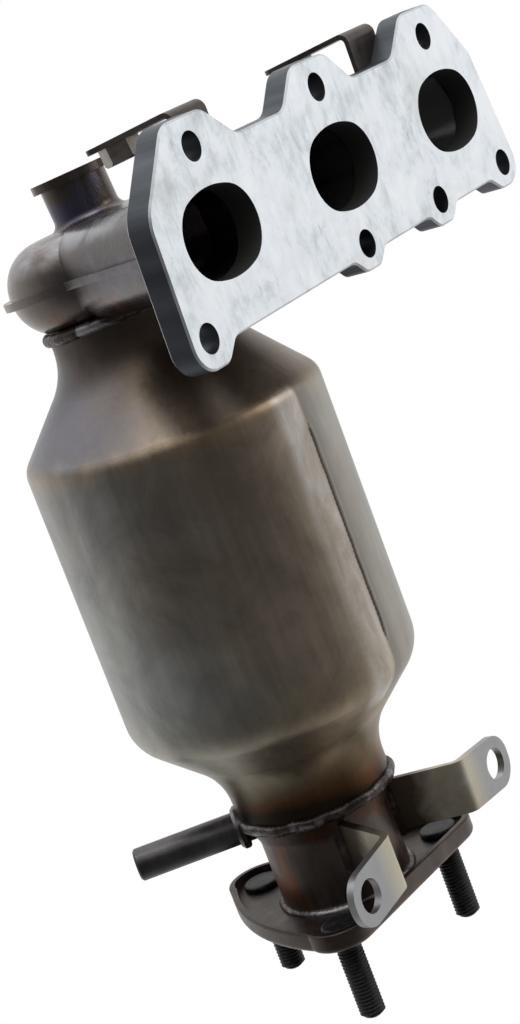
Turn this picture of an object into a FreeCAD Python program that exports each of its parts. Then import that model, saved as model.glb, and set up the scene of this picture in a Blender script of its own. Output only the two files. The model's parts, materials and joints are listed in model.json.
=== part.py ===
import FreeCAD, Part
import math
import os

# Manifold catalytic converter for a three-cylinder engine.
# Frame: origin at the centre of the middle port on the head flange's sealing face,
# +X along the row of ports, +Y away from the engine, +Z up. Sizes in millimetres.

V = FreeCAD.Vector
X_AXIS = V(1, 0, 0)
Y_AXIS = V(0, 1, 0)
Z_AXIS = V(0, 0, 1)

# ---------------------------------------------------------------- driving sizes

# head flange: a fine-blanked plate with three ports and seven bolt holes
port_pitch = 82.0
port_width = 44.0
port_height = 30.5
port_end_radius = 14.0
head_flange_thickness = 10.0
head_flange_bevel = 0.7
head_bolt_hole = 10.3
top_bolt_height = 29.0
bottom_bolt_drop = 28.0
end_bolt_spacing = 218.0
lower_bolt_x = (-2.7, 55.0)
flange_top_edge = 26.7
flange_bottom_edge = 31.9
top_ear_rim = 10.1
bottom_ear_rim = 9.2
top_ear_crest = 12.0
middle_ear_foot = 24.5
end_ear_foot = 27.0
left_side_rim = 10.2
right_side_rim = 12.6
left_shoulder_height = 14.0
right_shoulder_height = 16.5
left_shoulder_lean = 2.0
right_shoulder_lean = 9.8
right_crest_rise = 0.8
left_low_drop = 1.2
low_ear_crest = 5.5
low_ear_foot = 11.5
left_end_crest = 7.0
left_end_foot = 14.5
right_end_crest = 6.0
right_end_foot = 13.5
crest_radius = 10.0
ear_foot_radius = 8.0
left_shoulder_radius = 14.0
right_shoulder_radius = 10.0
low_corner_radius = 9.5
low_crest_radius = 6.0
low_foot_radius = 5.0

# collector: two pressed half shells on a seam plane that falls away from the flange
sheet = 1.5
seam_height = 1.0
seam_tilt = 4.8
collector_half_height = 17.5
runner_start_margin = 2.0
runner_end_half_width = 28.0
runner_edge_radius = 13.0
runner_lead = 4.0
dome_radius = 40.0
dome_edge_radius = 17.0
seam_lip = 3.0

# canister: one spun tube with a neck at each end
canister_x = -20.7
canister_y = 95.6
canister_radius = 58.2
canister_wall = 1.5
upper_neck_radius = 32.0
lower_neck_radius = 31.0
upper_neck_top = -16.0
upper_neck_corner = -39.5
upper_shoulder = -68.6
lower_shoulder = -180.5
lower_neck_corner = -206.5
lower_neck_end = -226.0
neck_blend = 26.0
upper_shoulder_blend = 8.0
lower_shoulder_blend = 16.0
canister_seam_angle = -42.0
canister_seam_width = 2.6
canister_seam_height = 0.5

# ceramic block and its mat
monolith_length = 92.0
mat_thickness = 3.85
mat_length = 84.0
monolith_edge = 1.0

# oxygen sensor boss on top of the dome
boss_x = -23.4
boss_y = 94.4
boss_radius = 12.6
boss_height = 18.3
boss_collar_radius = 15.3
boss_collar_height = 3.2
boss_flare = 3.6
sensor_thread = 18.0
sensor_thread_pitch = 1.5
thread_depth_share = 0.54
sensor_hole_clearance = 0.5

# heat shield brackets behind the head flange, each with a weld nut
shield_bracket_x = (-62.5, 56.5)
shield_bracket_width = 20.0
shield_bracket_sheet = 1.8
shield_bracket_top = 41.7
shield_bracket_foot = 21.0
shield_bracket_reach = 50.8
shield_bracket_bend = 2.0
shield_bracket_corner = 4.0
shield_droop = 6.5
shield_bolt_hole = 8.6
weld_nut_flats = 13.0
weld_nut_height = 6.5
weld_nut_bore = 6.8
weld_nut_setback = 8.4
weld_nut_chamfer = 0.8

# outlet pipe
pipe_radius = 26.0
pipe_wall = 2.0
pipe_socket_depth = 12.0
pipe_taper_end = -236.0
pipe_blend = 8.0
pipe_setback = 0.5
socket_stop = 1.5

# outlet flange: pressed plate with a turned-up rim and three studs
outlet_face = -268.5
outlet_plate = 4.0
outlet_rim_height = 8.0
outlet_rim_thickness = 2.6
outlet_rim_rounding = 0.9
outlet_press_radius = 2.4
stud_circle = 86.0
stud_count = 3
stud_first_angle = 87.0
lobe_radius = 13.5
side_bow = 7.0
stud_radius = 5.0
stud_drop = 33.0
stud_chamfer = 1.5
stud_neck_radius = 5.4
stud_head_radius = 7.6
stud_head_height = 2.6
stud_head_chamfer = 0.8

# hanger rod
rod_radius = 6.5
rod_height = -228.3
rod_angle = 127.1
rod_reach = 74.0
rod_chamfer = 0.8
rod_start = 22.0

# support brackets: two mirrored arms with one bolt hole each
support_centre_x = -21.0
support_face_y = 46.4
support_sheet = 3.0
support_width = 21.4
support_fold = 28.3
support_bend = 2.5
support_root = 15.0
support_root_y = 77.0
support_hole_offset = 52.2
support_hole_height = -245.0
support_hole = 12.8
support_droop = 5.0
support_inner_end = 5.0
support_end_radius = 9.6

# weld beads
bead = 2.4
small_bead = 1.9

# ---------------------------------------------------------------- worked-out places

tilt = math.radians(seam_tilt)
flange_back = head_flange_thickness
dome_run = (canister_y - flange_back) / math.cos(tilt)
port_x = [step * port_pitch for step in (-1, 0, 1)]
axis_point = V(canister_x, canister_y, 0)
monolith_radius = canister_radius - canister_wall - mat_thickness
canister_middle = (upper_shoulder + lower_shoulder) / 2
outlet_floor = outlet_face + outlet_plate
pipe_socket_radius = lower_neck_radius - canister_wall
stud_circle_radius = stud_circle / 2
FAR = 400.0


# ---------------------------------------------------------------- outline helpers

def unit(a, b):
    length = math.hypot(b[0] - a[0], b[1] - a[1])
    return ((b[0] - a[0]) / length, (b[1] - a[1]) / length)


def rounded_edges(corners, place, closed=True):
    """Lines and tangent arcs through corners (u, v, radius), placed in space by place(u, v)."""
    count = len(corners)
    pieces = []
    for index, (u, v, radius) in enumerate(corners):
        at_end = not closed and index in (0, count - 1)
        if at_end or radius == 0:
            pieces.append(((u, v), None, (u, v)))
            continue
        before = unit((u, v), corners[index - 1])
        after = unit((u, v), corners[(index + 1) % count])
        half = math.acos(before[0] * after[0] + before[1] * after[1]) / 2
        reach = radius / math.tan(half)
        bisector = unit((0, 0), (before[0] + after[0], before[1] + after[1]))
        middle = radius / math.sin(half) - radius
        pieces.append((
            (u + before[0] * reach, v + before[1] * reach),
            (u + bisector[0] * middle, v + bisector[1] * middle),
            (u + after[0] * reach, v + after[1] * reach),
        ))
    edges = []
    for index, (start, middle, end) in enumerate(pieces):
        if middle:
            edges.append(Part.Arc(place(*start), place(*middle), place(*end)).toShape())
        if closed or index < count - 1:
            following = pieces[(index + 1) % count][0]
            if math.hypot(following[0] - end[0], following[1] - end[1]) > 1e-6:
                edges.append(Part.makeLine(place(*end), place(*following)))
    return edges


def rounded_face(corners, place):
    return Part.Face(Part.Wire(rounded_edges(corners, place)))


def upright(u, v):
    """A point of an outline drawn in the XZ plane."""
    return V(u, 0, v)


def flat(u, v):
    """A point of an outline drawn in the XY plane."""
    return V(u, v, 0)


def turned_path(corners, distance):
    """The path moved sideways by distance, with its bends kept concentric."""
    moved = []
    count = len(corners)
    for index, (u, v, radius) in enumerate(corners):
        before = unit(corners[index - 1], (u, v)) if index else None
        after = unit((u, v), corners[index + 1]) if index < count - 1 else None
        first = before or after
        second = after or before
        normal = unit((0, 0), (first[1] + second[1], -first[0] - second[0]))
        stretch = distance / (normal[0] * first[1] - normal[1] * first[0])
        turn = first[0] * second[1] - first[1] * second[0]
        bend = radius + distance * math.copysign(1, turn) if radius else 0
        moved.append((u + normal[0] * stretch, v + normal[1] * stretch, bend))
    return moved


def sheet_profile(corners, thickness, place):
    """A closed face: the path, and the same path moved sideways by the thickness."""
    near = rounded_edges(corners, place, closed=False)
    moved = turned_path(corners, thickness)
    far = rounded_edges(moved, place, closed=False)
    start = Part.makeLine(place(*corners[0][:2]), place(*moved[0][:2]))
    end = Part.makeLine(place(*corners[-1][:2]), place(*moved[-1][:2]))
    wire = Part.Wire(Part.__sortEdges__(near + far + [start, end]))
    return Part.Face(wire)


def fused(shapes):
    body = shapes[-1]
    for shape in shapes[:-1]:
        body = body.fuse(shape)
    return body.removeSplitter()


def on_axis(shape):
    """Moves a shape made about the Z axis onto the canister's axis."""
    shape.translate(axis_point)
    return shape


def tube_profile(outer, wall):
    """A revolved wall from outer corners (radius, height, blend), listed downwards."""
    face = sheet_profile(outer, wall, upright)
    return on_axis(face.revolve(V(0, 0, 0), Z_AXIS, 360))


def bead_ring(radius, size):
    """A weld bead about the Z axis at height 0: an eight-sided section, wide as twice its size."""
    corners = []
    for step in range(8):
        angle = math.radians(45 * step + 22.5)
        corners.append((radius + size * math.cos(angle), size * math.sin(angle), 0))
    return rounded_face(corners, upright).revolve(V(0, 0, 0), Z_AXIS, 360)


# ---------------------------------------------------------------- head flange

def oval(width, height, end_radius, x):
    """Four-centred oval in the XZ plane: flat arcs above and below, tighter arcs at the sides."""
    half_width = width / 2
    half_height = height / 2
    side_centre = half_width - end_radius
    rise = half_height - end_radius
    flat_radius = (side_centre ** 2 + half_height ** 2 - end_radius ** 2) / (2 * rise)
    lean = math.atan2(flat_radius - half_height, side_centre)
    joint_x = side_centre + end_radius * math.cos(lean)
    joint_z = end_radius * math.sin(lean)
    stations = [
        (half_width, 0), (joint_x, joint_z), (0, half_height), (-joint_x, joint_z),
        (-half_width, 0), (-joint_x, -joint_z), (0, -half_height), (joint_x, -joint_z),
    ]
    points = [V(x + u, 0, v) for u, v in stations]
    arcs = []
    for first, middle, last in ((7, 0, 1), (1, 2, 3), (3, 4, 5), (5, 6, 7)):
        arcs.append(Part.Arc(points[first], points[middle], points[last]).toShape())
    return Part.Face(Part.Wire(arcs))


def head_flange_corners():
    crest = top_bolt_height + top_ear_rim
    low_crest = -bottom_bolt_drop - bottom_ear_rim
    end_x = end_bolt_spacing / 2
    left_side = -end_x - left_side_rim
    right_side = end_x + right_side_rim
    low_edge = -flange_bottom_edge
    corners = [
        (left_side, low_crest - left_low_drop, low_corner_radius),
        (left_side + left_shoulder_lean, left_shoulder_height, left_shoulder_radius),
        (-port_pitch - top_ear_crest, crest, crest_radius),
        (-port_pitch + top_ear_crest, crest, crest_radius),
        (-port_pitch + end_ear_foot, flange_top_edge, ear_foot_radius),
        (-middle_ear_foot, flange_top_edge, ear_foot_radius),
        (-top_ear_crest, crest, crest_radius),
        (top_ear_crest, crest, crest_radius),
        (middle_ear_foot, flange_top_edge, ear_foot_radius),
        (port_pitch - end_ear_foot, flange_top_edge, ear_foot_radius),
        (port_pitch - top_ear_crest, crest + right_crest_rise, crest_radius),
        (port_pitch + top_ear_crest, crest + right_crest_rise, crest_radius),
        (right_side - right_shoulder_lean, right_shoulder_height, right_shoulder_radius),
        (right_side, low_crest, low_corner_radius),
        (end_x - right_end_crest, low_crest, low_crest_radius),
        (end_x - right_end_foot, low_edge, low_foot_radius),
    ]
    for x in reversed(lower_bolt_x):
        corners += [
            (x + low_ear_foot, low_edge, low_foot_radius),
            (x + low_ear_crest, low_crest, low_crest_radius),
            (x - low_ear_crest, low_crest, low_crest_radius),
            (x - low_ear_foot, low_edge, low_foot_radius),
        ]
    corners += [
        (-end_x + left_end_foot, low_edge, low_foot_radius),
        (-end_x + left_end_crest, low_crest - left_low_drop, low_crest_radius),
    ]
    return corners


def head_bolt_places():
    end_x = end_bolt_spacing / 2
    places = [(x, top_bolt_height) for x in port_x]
    places += [(x, -bottom_bolt_drop) for x in (-end_x, *lower_bolt_x, end_x)]
    return places


def make_head_flange():
    outline = rounded_face(head_flange_corners(), upright)
    plate = outline.extrude(Y_AXIS * head_flange_thickness)
    rims = [edge for edge in plate.Edges if edge.BoundBox.YLength < 1e-6]
    plate = plate.makeChamfer(head_flange_bevel, rims)
    cuts = [oval(port_width, port_height, port_end_radius, x) for x in port_x]
    tools = [face.extrude(Y_AXIS * head_flange_thickness) for face in cuts]
    for x, z in head_bolt_places():
        tools.append(Part.makeCylinder(head_bolt_hole / 2, head_flange_thickness, V(x, 0, z), Y_AXIS))
    return plate.cut(tools)


# ---------------------------------------------------------------- collector
# Its parts are drawn with the seam plane level: v runs from the flange's back along the
# seam, w rises from it. to_seam() then lays them on the falling seam plane.

def to_seam(shape):
    shape.rotate(V(0, 0, 0), X_AXIS, -seam_tilt)
    shape.translate(V(0, flange_back, seam_height))
    return shape


def runner_plan(x, grow):
    """Plan of one runner: from the port's width at the flange to the dome's middle."""
    half_start = port_width / 2 + runner_start_margin + grow
    half_end = runner_end_half_width + grow
    along = unit((x, 0), (canister_x, dome_run))
    side = (along[1], -along[0])
    corners = []
    for sign in (-1, 1):
        start = (x + sign * half_start, 0)
        end = (canister_x + sign * side[0] * half_end, dome_run + sign * side[1] * half_end)
        flank = unit(start, end)
        back = runner_lead / flank[1]
        corners.append(((start[0] - flank[0] * back, -runner_lead, 0), (*end, 0)))
    (left_start, left_end), (right_start, right_end) = corners
    return [left_start, right_start, right_end, left_end]


def long_edges(shape, half_height):
    """The level edges along a runner's flanks, above and below."""
    chosen = []
    for edge in shape.Edges:
        box = edge.BoundBox
        level = box.ZLength < 1e-6 and abs(abs(box.ZMax) - half_height) < 1e-6
        if level and box.YLength > 1:
            chosen.append(edge)
    return chosen


def collector_form(inset):
    """Runners and dome as one solid, inset everywhere from the pressed outside."""
    half_height = collector_half_height - inset
    base = V(0, 0, -half_height)
    solids = []
    for x in port_x:
        prism = rounded_face(runner_plan(x, -inset), flat).extrude(Z_AXIS * 2 * half_height)
        prism.translate(base)
        flanks = [
            edge for edge in long_edges(prism, half_height)
            if edge.BoundBox.YMin < dome_run / 2
        ]
        solids.append(prism.makeFillet(runner_edge_radius - inset, flanks))
    centre = V(canister_x, dome_run, -half_height)
    dome = Part.makeCylinder(dome_radius - inset, 2 * half_height, centre)
    rims = [edge for edge in dome.Edges if edge.BoundBox.ZLength < 1e-6]
    solids.append(dome.makeFillet(dome_edge_radius - inset, rims))
    return fused(solids)


def seam_plate():
    """The pinched lips of both shells, before the cavity is cut."""
    base = V(0, 0, -sheet)
    solids = []
    for x in port_x:
        prism = rounded_face(runner_plan(x, seam_lip), flat).extrude(Z_AXIS * 2 * sheet)
        prism.translate(base)
        solids.append(prism)
    centre = V(canister_x, dome_run, -sheet)
    solids.append(Part.makeCylinder(dome_radius + seam_lip, 2 * sheet, centre))
    return fused(solids)


def behind_flange():
    return Part.makeBox(FAR, FAR, FAR, V(-FAR / 2, flange_back, -FAR / 2))


def neck_core():
    return on_axis(Part.makeCylinder(upper_neck_radius, 60, V(0, 0, -60)))


def sensor_axis():
    """Place and direction of the boss: square to the collector's top."""
    run = (boss_y - flange_back) / math.cos(tilt)
    return V(boss_x, run, collector_half_height)


def boss_cylinder(radius, low, high):
    seat = sensor_axis()
    return to_seam(Part.makeCylinder(radius, high - low, V(seat.x, seat.y, seat.z + low)))


def make_collector():
    skin = fused([collector_form(0), seam_plate()])
    hollow = to_seam(collector_form(sheet))
    skin = to_seam(skin).common(behind_flange()).cut(hollow)
    above = to_seam(Part.makeBox(FAR, FAR, FAR, V(-FAR / 2, -FAR / 2, 0)))
    upper = skin.common(above).cut(boss_cylinder(sensor_thread / 2 + sensor_hole_clearance, -dome_edge_radius, 1))
    lower = skin.cut(above).cut(neck_core())
    return upper, lower


def make_collector_flange_weld():
    """Bead round the three runners where they meet the flange's back."""
    outside = collector_form(0)
    grown = collector_form(-bead)
    slab = Part.makeBox(FAR, bead, FAR, V(-FAR / 2, flange_back, -FAR / 2))
    ring = to_seam(grown).common(slab)
    lips = to_seam(seam_plate())
    return ring.cut(to_seam(outside)).cut(lips)


# ---------------------------------------------------------------- canister

def canister_corners():
    return [
        (upper_neck_radius, upper_neck_top, 0),
        (upper_neck_radius, upper_neck_corner, neck_blend),
        (canister_radius, upper_shoulder, upper_shoulder_blend),
        (canister_radius, lower_shoulder, lower_shoulder_blend),
        (lower_neck_radius, lower_neck_corner, neck_blend),
        (lower_neck_radius, lower_neck_end, 0),
    ]


def make_canister():
    return tube_profile(canister_corners(), canister_wall)


def make_canister_seam():
    length = upper_shoulder - lower_shoulder - 24
    low = canister_middle - length / 2
    outer = canister_radius + canister_seam_height
    ring = Part.makeCylinder(outer, length, V(0, 0, low))
    core = Part.makeCylinder(canister_radius, length, V(0, 0, low))
    strip = Part.makeBox(outer + 1, canister_seam_width, length, V(0, -canister_seam_width / 2, low))
    seam = ring.cut(core).common(strip)
    seam.rotate(V(0, 0, 0), Z_AXIS, canister_seam_angle)
    return on_axis(seam)


def make_monolith():
    low = canister_middle - monolith_length / 2
    block = Part.makeCylinder(monolith_radius, monolith_length, V(0, 0, low))
    rims = [edge for edge in block.Edges if edge.BoundBox.ZLength < 1e-6]
    return on_axis(block.makeChamfer(monolith_edge, rims))


def make_mat():
    low = canister_middle - mat_length / 2
    outer = Part.makeCylinder(canister_radius - canister_wall, mat_length, V(0, 0, low))
    inner = Part.makeCylinder(monolith_radius, mat_length, V(0, 0, low))
    return on_axis(outer.cut(inner))


def make_inlet_weld(lower_shell):
    """Bead round the upper neck, in the corner under the collector's dome."""
    drop = math.sqrt(dome_edge_radius ** 2 - (upper_neck_radius - dome_radius + dome_edge_radius) ** 2)
    height = dome_edge_radius - collector_half_height - drop
    ring = bead_ring(upper_neck_radius + bead / 2, bead)
    ring.translate(V(canister_x, dome_run, height - bead / 2))
    ring = to_seam(ring)
    filled = to_seam(collector_form(0))
    return ring.cut(filled).cut(lower_shell).cut(neck_core())


# ---------------------------------------------------------------- sensor boss

def make_boss():
    body = boss_cylinder(boss_radius, 0, boss_height)
    collar = boss_cylinder(boss_collar_radius, boss_height - boss_collar_height, boss_height)
    minor = sensor_thread / 2 - sensor_thread_pitch * thread_depth_share
    return fused([body, collar]).cut(boss_cylinder(minor, -1, boss_height + 1))


def make_boss_weld():
    """Hollow-faced bead that sweeps from the boss down to the collector's top."""
    foot = boss_radius + boss_flare
    lean = boss_flare * (1 - math.sqrt(0.5))
    edges = [
        Part.makeLine(V(boss_radius, 0, 0), V(foot, 0, 0)),
        Part.Arc(V(foot, 0, 0), V(boss_radius + lean, 0, lean), V(boss_radius, 0, boss_flare)).toShape(),
        Part.makeLine(V(boss_radius, 0, boss_flare), V(boss_radius, 0, 0)),
    ]
    ring = Part.Face(Part.Wire(edges)).revolve(V(0, 0, 0), Z_AXIS, 360)
    ring.translate(sensor_axis())
    return to_seam(ring)


# ---------------------------------------------------------------- heat shield brackets

def nut_centre_y():
    return shield_bracket_reach - weld_nut_setback


def drooped(shape):
    """Tips a shape drawn level about the bracket's top corner, so that its far end falls."""
    shape.rotate(V(0, flange_back, shield_bracket_top), X_AXIS, -shield_droop)
    return shape


def make_shield_bracket(x):
    droop = math.radians(shield_droop)
    length = shield_bracket_reach - flange_back
    path = [
        (flange_back, shield_bracket_foot, 0),
        (flange_back, shield_bracket_top, shield_bracket_bend + shield_bracket_sheet),
        (flange_back + length * math.cos(droop), shield_bracket_top - length * math.sin(droop), 0),
    ]
    left = x - shield_bracket_width / 2
    right = x + shield_bracket_width / 2
    face = sheet_profile(path, shield_bracket_sheet, lambda u, v: V(left, u, v))
    strip = face.extrude(X_AXIS * shield_bracket_width)
    plan = rounded_face([
        (left, 0, 0),
        (right, 0, 0),
        (right, shield_bracket_reach, shield_bracket_corner),
        (left, shield_bracket_reach, shield_bracket_corner),
    ], flat)
    strip = strip.common(drooped(plan.extrude(Z_AXIS * (shield_bracket_top + 1))))
    hole = Part.makeCylinder(shield_bolt_hole / 2, FAR, V(x, nut_centre_y(), -FAR / 2))
    return strip.cut(drooped(hole))


def make_weld_nut(x):
    """Hexagon nut, chamfered at its lower end, against the underside of the bracket's plate."""
    seat = shield_bracket_top - shield_bracket_sheet
    low = seat - weld_nut_height
    across = weld_nut_flats / math.sqrt(3)
    corners = []
    for step in range(6):
        angle = math.radians(60 * step)
        corners.append((x + across * math.cos(angle), nut_centre_y() + across * math.sin(angle), 0))
    prism = rounded_face(corners, flat).extrude(Z_AXIS * weld_nut_height)
    prism.translate(Z_AXIS * low)
    centre = V(x, nut_centre_y(), low)
    spread = weld_nut_height + across - weld_nut_chamfer
    nut = prism.common(Part.makeCone(across - weld_nut_chamfer, spread, weld_nut_height, centre))
    return drooped(nut.cut(Part.makeCylinder(weld_nut_bore / 2, weld_nut_height, centre)))


# ---------------------------------------------------------------- outlet

def make_outlet_pipe():
    path = [
        (pipe_socket_radius, lower_neck_end + pipe_socket_depth, 0),
        (pipe_socket_radius, lower_neck_end - socket_stop, pipe_blend),
        (pipe_radius, pipe_taper_end, pipe_blend),
        (pipe_radius, outlet_face + pipe_setback, 0),
    ]
    return tube_profile(path, pipe_wall)


def stud_places():
    places = []
    for step in range(stud_count):
        angle = math.radians(stud_first_angle + 360 * step / stud_count)
        places.append((
            canister_x + stud_circle_radius * math.cos(angle),
            canister_y + stud_circle_radius * math.sin(angle),
        ))
    return places


def outlet_outline(inset, height):
    """Three lobes round the studs; the side between the first two lobes is bowed outwards."""
    radius = lobe_radius - inset
    places = stud_places()
    corners = []
    for index, (x, y) in enumerate(places):
        following = places[(index + 1) % stud_count]
        along = unit((x, y), following)
        out = (along[1], -along[0])
        corners.append(((x + out[0] * radius, y + out[1] * radius),
                        (following[0] + out[0] * radius, following[1] + out[1] * radius)))
    edges = []
    for index, (start, end) in enumerate(corners):
        first = V(start[0], start[1], height)
        last = V(end[0], end[1], height)
        if index == 0:
            along = unit(start, end)
            middle = V(
                (start[0] + end[0]) / 2 + along[1] * side_bow,
                (start[1] + end[1]) / 2 - along[0] * side_bow, height)
            edges.append(Part.Arc(first, middle, last).toShape())
        else:
            edges.append(Part.makeLine(first, last))
        lobe = places[(index + 1) % stud_count]
        away = unit((canister_x, canister_y), lobe)
        tip = V(lobe[0] + away[0] * radius, lobe[1] + away[1] * radius, height)
        turn = corners[(index + 1) % stud_count][0]
        edges.append(Part.Arc(last, tip, V(turn[0], turn[1], height)).toShape())
    return Part.Face(Part.Wire(edges))


def make_outlet_flange():
    block = outlet_outline(0, outlet_face).extrude(Z_AXIS * outlet_rim_height)
    lower = [edge for edge in block.Edges if edge.BoundBox.ZMax < outlet_face + 1e-6]
    block = block.makeFillet(outlet_press_radius, lower)
    upper = [edge for edge in block.Edges if edge.BoundBox.ZMin > outlet_face + outlet_rim_height - 1e-6]
    block = block.makeFillet(outlet_rim_rounding, upper)
    recess = outlet_outline(outlet_rim_thickness, outlet_floor).extrude(Z_AXIS * outlet_rim_height)
    bore = on_axis(Part.makeCylinder(pipe_radius, 2 * outlet_rim_height, V(0, 0, outlet_face - 1)))
    shanks = [
        Part.makeCylinder(stud_neck_radius, 2 * outlet_rim_height, V(x, y, outlet_face - 1))
        for x, y in stud_places()
    ]
    return block.cut([recess, bore] + shanks)


def make_outlet_stud(x, y):
    """A pressed-in stud: low head on the plate, thicker neck through it, thread below it."""
    tip = outlet_face - stud_drop
    top = outlet_floor + stud_head_height
    profile = [
        (0, tip, 0),
        (stud_radius - stud_chamfer, tip, 0),
        (stud_radius, tip + stud_chamfer, 0),
        (stud_radius, outlet_face, 0),
        (stud_neck_radius, outlet_face, 0),
        (stud_neck_radius, outlet_floor, 0),
        (stud_head_radius, outlet_floor, 0),
        (stud_head_radius, top - stud_head_chamfer, 0),
        (stud_head_radius - stud_head_chamfer, top, 0),
        (0, top, 0),
    ]
    stud = rounded_face(profile, upright).revolve(V(0, 0, 0), Z_AXIS, 360)
    stud.translate(V(x, y, 0))
    return stud


def make_outlet_flange_weld():
    ring = bead_ring(pipe_radius, bead)
    ring.translate(V(0, 0, outlet_floor))
    core = Part.makeCylinder(pipe_radius, 2 * bead, V(0, 0, outlet_floor - bead))
    below = Part.makeCylinder(pipe_radius + 2 * bead, 2 * bead, V(0, 0, outlet_floor - 2 * bead))
    return on_axis(ring.cut([core, below]))


def make_outlet_weld(neck, pipe):
    ring = bead_ring(lower_neck_radius, small_bead)
    ring.translate(V(0, 0, lower_neck_end))
    middle = pipe_socket_radius - pipe_wall / 2
    core = Part.makeCylinder(middle, 4 * bead, V(0, 0, lower_neck_end - 2 * bead))
    return on_axis(ring.cut(core)).cut([neck, pipe])


# ---------------------------------------------------------------- hanger rod

def rod_direction():
    angle = math.radians(rod_angle)
    return V(math.cos(angle), math.sin(angle), 0)


def along_rod(distance):
    return V(canister_x, canister_y, rod_height) + rod_direction() * distance


def make_hanger_rod(blockers):
    """Round bar whose inner end is shaped to the walls that it is welded to."""
    length = rod_reach - rod_start
    rod = Part.makeCylinder(rod_radius, length, along_rod(rod_start), rod_direction())
    tip = along_rod(rod_reach)
    rims = [edge for edge in rod.Edges if edge.BoundBox.Center.distanceToPoint(tip) < 0.1]
    pieces = rod.makeChamfer(rod_chamfer, rims).cut(blockers).Solids
    return max(pieces, key=lambda solid: solid.Volume)


def make_hanger_weld(rod, blockers):
    ring = bead_ring(rod_radius, bead)
    ring.rotate(V(0, 0, 0), Y_AXIS, 90)
    ring.rotate(V(0, 0, 0), Z_AXIS, rod_angle)
    ring.translate(along_rod(lower_neck_radius))
    middle = V(canister_x, canister_y, rod_height - 2 * rod_radius)
    core = Part.makeCylinder(pipe_socket_radius, 4 * rod_radius, middle)
    pieces = ring.cut([rod, core] + blockers).Solids
    return max(pieces, key=lambda solid: solid.Volume)


# ---------------------------------------------------------------- support brackets

def support_strip(side, grow):
    """A strip folded once, thicker and wider by grow all round, before it is cut to the pipe."""
    far = support_hole_offset + support_width / 2
    path = [
        (support_root, support_root_y, 0),
        (support_fold, support_face_y, support_bend + support_sheet),
        (far, support_face_y, 0),
    ]

    def place(u, v):
        return V(support_centre_x + side * u, v, 0)

    plan = sheet_profile(turned_path(path, grow), -support_sheet - 2 * grow, place)
    strip = plan.extrude(Z_AXIS * FAR)
    strip.translate(V(0, 0, support_hole_height - FAR / 2))
    half = support_width / 2 + grow
    slope = math.tan(math.radians(support_droop))
    hole_x = support_centre_x + side * support_hole_offset
    inner_x = support_centre_x - side * support_inner_end
    inner_z = support_hole_height + (support_hole_offset + support_inner_end) * slope
    outer_x = hole_x + side * half
    outer_z = support_hole_height - half * slope
    band = rounded_face([
        (inner_x, inner_z - half, 0),
        (outer_x, outer_z - half, support_end_radius),
        (outer_x, outer_z + half, support_end_radius),
        (inner_x, inner_z + half, 0),
    ], upright).extrude(Y_AXIS * FAR)
    return strip.common(band)


def make_support_bracket(side, blockers):
    hole_x = support_centre_x + side * support_hole_offset
    hole = Part.makeCylinder(support_hole / 2, FAR, V(hole_x, 0, support_hole_height), Y_AXIS)
    pieces = support_strip(side, 0).cut([hole] + blockers).Solids
    return min(pieces, key=lambda solid: solid.CenterOfMass.y)


def make_support_weld(side, blockers):
    """Bead where the strip's edge meets the pipe."""
    low = V(canister_x, canister_y, support_hole_height - support_width)
    collar = Part.makeCylinder(pipe_radius + small_bead, 2 * support_width, low)
    pieces = support_strip(side, small_bead).common(collar).cut(blockers).Solids
    return min(pieces, key=lambda solid: solid.CenterOfMass.y)


# ---------------------------------------------------------------- the whole part

def make_part():
    parts = {}
    parts["head_flange"] = make_head_flange()
    upper, lower = make_collector()
    parts["collector_upper_shell"] = upper
    parts["collector_lower_shell"] = lower
    parts["collector_flange_weld"] = make_collector_flange_weld()
    parts["canister_shell"] = make_canister()
    parts["canister_seam_weld"] = make_canister_seam()
    parts["catalyst_monolith"] = make_monolith()
    parts["support_mat"] = make_mat()
    parts["inlet_weld"] = make_inlet_weld(lower)
    parts["sensor_boss"] = make_boss()
    parts["boss_weld"] = make_boss_weld()
    for name, x in zip(("left", "right"), shield_bracket_x):
        parts["shield_bracket_" + name] = make_shield_bracket(x)
        parts["weld_nut_" + name] = make_weld_nut(x)
    neck = parts["canister_shell"]
    pipe = make_outlet_pipe()
    parts["outlet_pipe"] = pipe
    parts["outlet_weld"] = make_outlet_weld(neck, pipe)
    parts["outlet_flange"] = make_outlet_flange()
    parts["outlet_flange_weld"] = make_outlet_flange_weld()
    for index, (x, y) in enumerate(stud_places(), 1):
        parts["outlet_stud_%d" % index] = make_outlet_stud(x, y)
    walls = [neck, pipe, parts["outlet_weld"]]
    parts["hanger_rod"] = make_hanger_rod(walls)
    parts["hanger_weld"] = make_hanger_weld(parts["hanger_rod"], walls)
    for name, side in (("left", -1), ("right", 1)):
        bracket = make_support_bracket(side, walls)
        parts["support_bracket_" + name] = bracket
        parts["support_weld_" + name] = make_support_weld(side, walls + [bracket])
    return parts


def main():
    os.makedirs("parts", exist_ok=True)
    for name, shape in make_part().items():
        print(name, shape.isValid(), len(shape.Solids), round(shape.Volume, 1), shape.BoundBox)
        shape.exportStep("parts/%s.step" % name)


main()
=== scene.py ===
import bpy
import json
import math
from mathutils import Matrix, Vector, noise


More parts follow.
